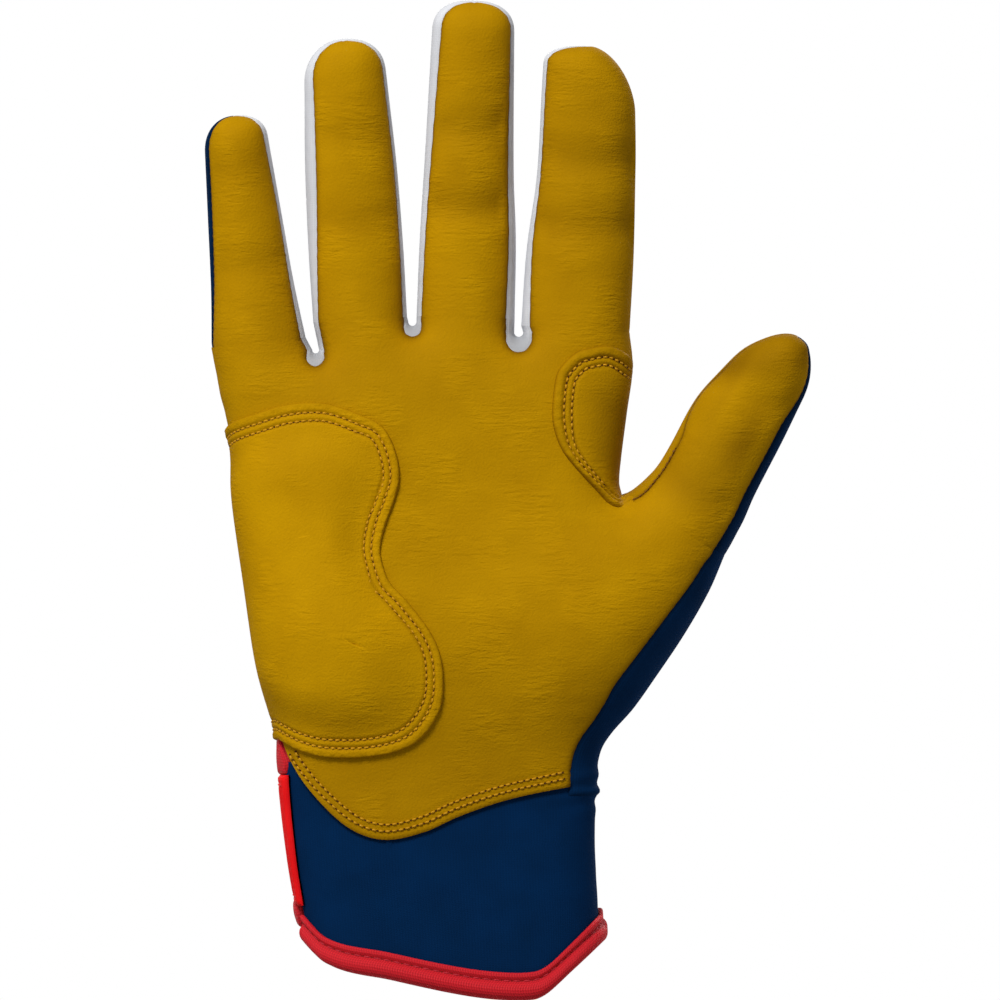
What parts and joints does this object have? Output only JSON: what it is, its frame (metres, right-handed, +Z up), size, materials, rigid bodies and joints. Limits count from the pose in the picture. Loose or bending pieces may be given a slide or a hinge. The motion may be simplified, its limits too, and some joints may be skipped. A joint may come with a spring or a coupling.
{
  "type": "batting glove",
  "caption": "Long-cuff batting glove for the right hand: leather palm with stitched heel pad, stretch back, knit finger sides, bound cuff mouth and a peel-open wrist strap.",
  "frame": {"origin": "middle of the cuff mouth, level with the lowest point of the hem, midway between palm and back", "axes": "+Z up the fingers, -Y out of the palm, +X towards the thumb"},
  "size_m": [0.1435, 0.0414, 0.2391],
  "materials": {
    "leather": "fine pebbled, semi-matte",
    "stretch": "matte stretch knit",
    "fourchette": "matte knit",
    "cuff": "matte knit-faced neoprene",
    "tape": "matte woven tape",
    "strap": "smooth coated fabric",
    "loop": "napped loop pile",
    "hook": "moulded hook field",
    "foam": "closed-cell foam"
  },
  "bodies": {
    "hand": {"palm_leather": "leather", "heel_pad_foam": "foam", "heel_pad_overlay": "leather", "index_patch": "leather", "back_panel": "stretch", "thenar_side": "stretch", "web_pinky_ring": "fourchette", "web_ring_middle": "fourchette", "web_middle_index": "fourchette", "cuff_palm": "cuff", "cuff_back": "cuff", "hem_binding": "tape", "slit_top_binding": "tape", "loop_patch": "loop"},
    "pinky": {"pinky_palm": "leather", "pinky_back": "stretch", "pinky_fourchette": "fourchette"},
    "ring": {"ring_palm": "leather", "ring_back": "stretch", "ring_fourchette_ulnar": "fourchette", "ring_fourchette_radial": "fourchette"},
    "middle": {"middle_palm": "leather", "middle_back": "stretch", "middle_fourchette_ulnar": "fourchette", "middle_fourchette_radial": "fourchette"},
    "index": {"index_palm": "leather", "index_back": "stretch", "index_fourchette": "fourchette"},
    "thumb": {"thumb_palm": "leather", "thumb_back": "stretch", "thumb_gusset": "leather"},
    "strap": {"strap_band": "strap", "hook_patch": "hook", "strap_pull_tab": "loop"}
  },
  "joints": [
    {"name": "pinky_flex", "type": "hinge", "parent": "hand", "child": "pinky", "pos_m": [-0.045, -0.0106, 0.1571], "axis": [0.9942, 0, 0.108], "range_deg": [0, 80], "stiffness_Nm_per_rad": 0.02},
    {"name": "ring_flex", "type": "hinge", "parent": "hand", "child": "ring", "pos_m": [-0.0206, -0.0103, 0.1626], "axis": [0.9982, 0, 0.06], "range_deg": [0, 80], "stiffness_Nm_per_rad": 0.02},
    {"name": "middle_flex", "type": "hinge", "parent": "hand", "child": "middle", "pos_m": [0.0044, -0.01045, 0.1631], "axis": [0.9995, 0, -0.0314], "range_deg": [0, 80], "stiffness_Nm_per_rad": 0.02},
    {"name": "index_flex", "type": "hinge", "parent": "hand", "child": "index", "pos_m": [0.0313, -0.01095, 0.1603], "axis": [0.998, 0, -0.0633], "range_deg": [0, 80], "stiffness_Nm_per_rad": 0.02},
    {"name": "thumb_flex", "type": "hinge", "parent": "hand", "child": "thumb", "pos_m": [0.0546, -0.01365, 0.1132], "axis": [0.8616, 0, -0.5075], "range_deg": [0, 50], "stiffness_Nm_per_rad": 0.02},
    {"name": "strap_peel", "type": "hinge", "parent": "hand", "child": "strap", "pos_m": [-0.0373, -0.0095, 0.0378], "axis": [-0.109, 0.0185, 0.9939], "range_deg": [0, 150]}
  ]
}
